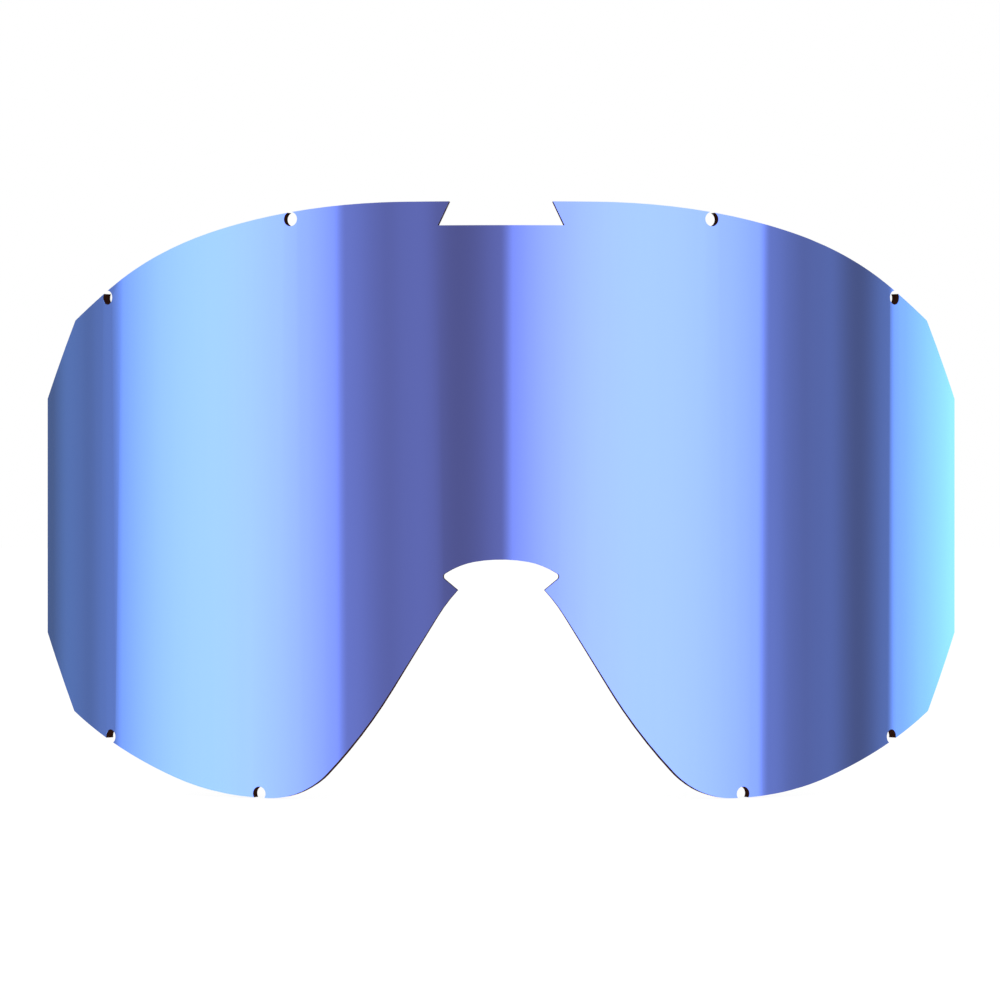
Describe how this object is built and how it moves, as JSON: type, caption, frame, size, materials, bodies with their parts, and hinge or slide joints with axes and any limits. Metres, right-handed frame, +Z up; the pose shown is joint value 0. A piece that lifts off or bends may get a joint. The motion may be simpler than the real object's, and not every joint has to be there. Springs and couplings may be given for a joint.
{
  "type": "ski goggle lens",
  "caption": "Bent double lens for ski goggles, mirrored in blue, with pin notches round its edge, a dovetail notch at the top and a nose cut-out.",
  "frame": {"origin": "centre of the whole lens's bounding box", "axes": "+X to the right seen from the front, along the longest side; -Y out of the middle of the mirrored face; +Z up. The bend axis is vertical, 77.7 mm behind the origin"},
  "size_m": [0.1652, 0.0446, 0.1036],
  "materials": {
    "mirror": "blue multilayer mirror, polished",
    "brown_pane": "clear brown tinted polycarbonate, polished faces and cut edges",
    "adhesive": "clear transfer adhesive film",
    "foam": "black closed-cell foam, fine open skin",
    "clear_pane": "clear cellulose propionate, polished",
    "antifog": "clear anti-fog coating, slightly hazy",
    "membrane": "white porous membrane"
  },
  "bodies": {
    "root": {"mirror_coating": "mirror", "outer_pane": "brown_pane", "front_adhesive": "adhesive", "spacer_gasket": "foam", "rear_adhesive": "adhesive", "inner_pane": "clear_pane", "antifog_coating": "antifog", "breather_membrane": "membrane"}
  },
  "joints": []
}
